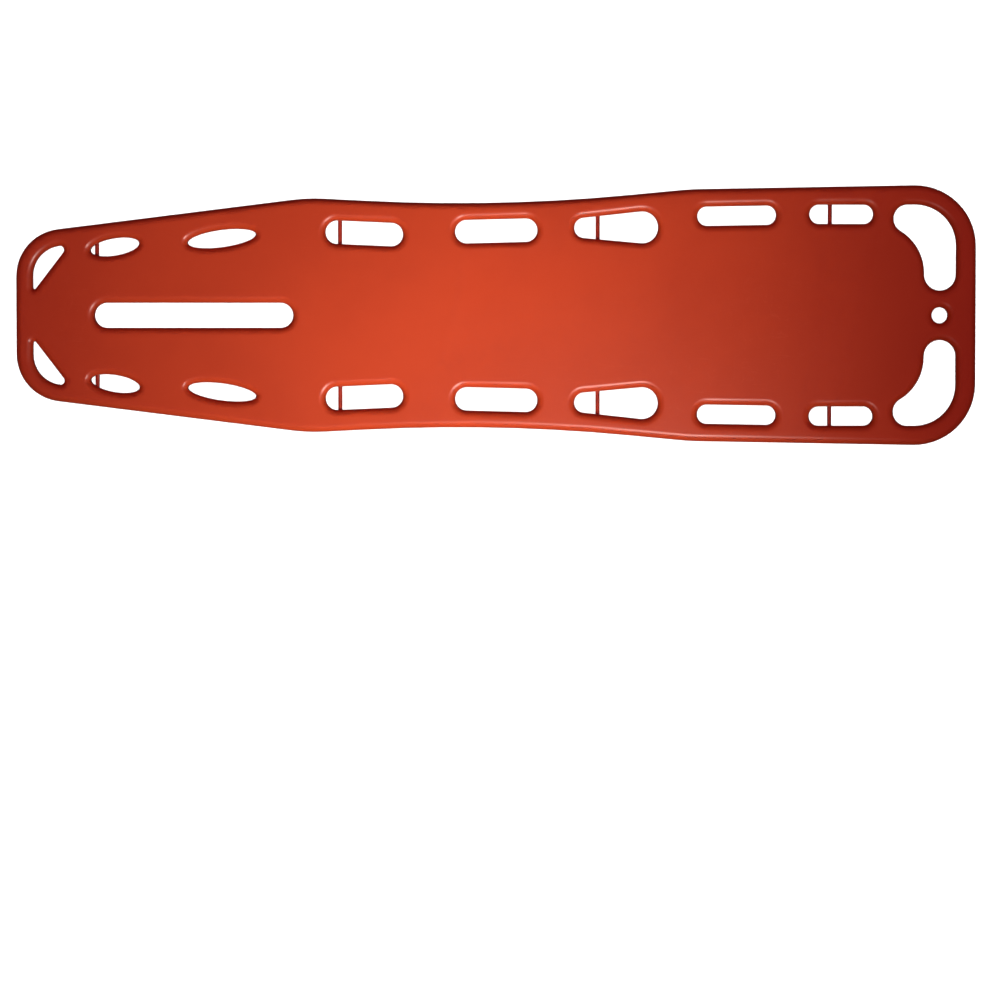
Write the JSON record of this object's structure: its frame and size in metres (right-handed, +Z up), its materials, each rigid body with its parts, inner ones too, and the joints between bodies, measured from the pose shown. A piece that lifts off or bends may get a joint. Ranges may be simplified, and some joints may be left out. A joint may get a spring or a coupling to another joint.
{
  "type": "spine board",
  "caption": "Long flat rescue board with a tapered foot end, rounded hand grips round the rim, strap slots with pins, and a U-shaped channel underneath.",
  "frame": {"origin": "on the ground under the middle of the board's box", "axes": "+X to the head end, +Y to the patient's right side, +Z up out of the patient deck"},
  "size_m": [1.84, 0.498, 0.05],
  "materials": {
    "shell": "satin orange-red polyethylene with a very fine moulded grain",
    "foam": "rigid cream polyurethane foam",
    "pin": "smooth red nylon",
    "plug": "satin dark red polyethylene",
    "tube": "pultruded glass fibre, pale",
    "cap": "black moulded rubber"
  },
  "bodies": {
    "root": {"deck_shell": "shell", "base_shell": "shell", "foam_core": "foam", "strap_pin_ankle_right": "pin", "strap_pin_ankle_left": "pin", "strap_pin_thigh_right": "pin", "strap_pin_thigh_left": "pin", "strap_pin_waist_right": "pin", "strap_pin_waist_left": "pin", "strap_pin_shoulder_right": "pin", "strap_pin_shoulder_left": "pin", "port_plug_thigh_right": "plug", "port_plug_thigh_left": "plug", "port_plug_hip_right": "plug", "port_plug_hip_left": "plug", "port_plug_waist_right": "plug", "port_plug_waist_left": "plug", "port_plug_chest_right": "plug", "port_plug_chest_left": "plug", "port_plug_bend": "plug", "stiffener_tube_right": "tube", "stiffener_tube_left": "tube", "tube_cap_foot_right": "cap", "tube_cap_head_right": "cap", "tube_cap_foot_left": "cap", "tube_cap_head_left": "cap"}
  },
  "joints": []
}
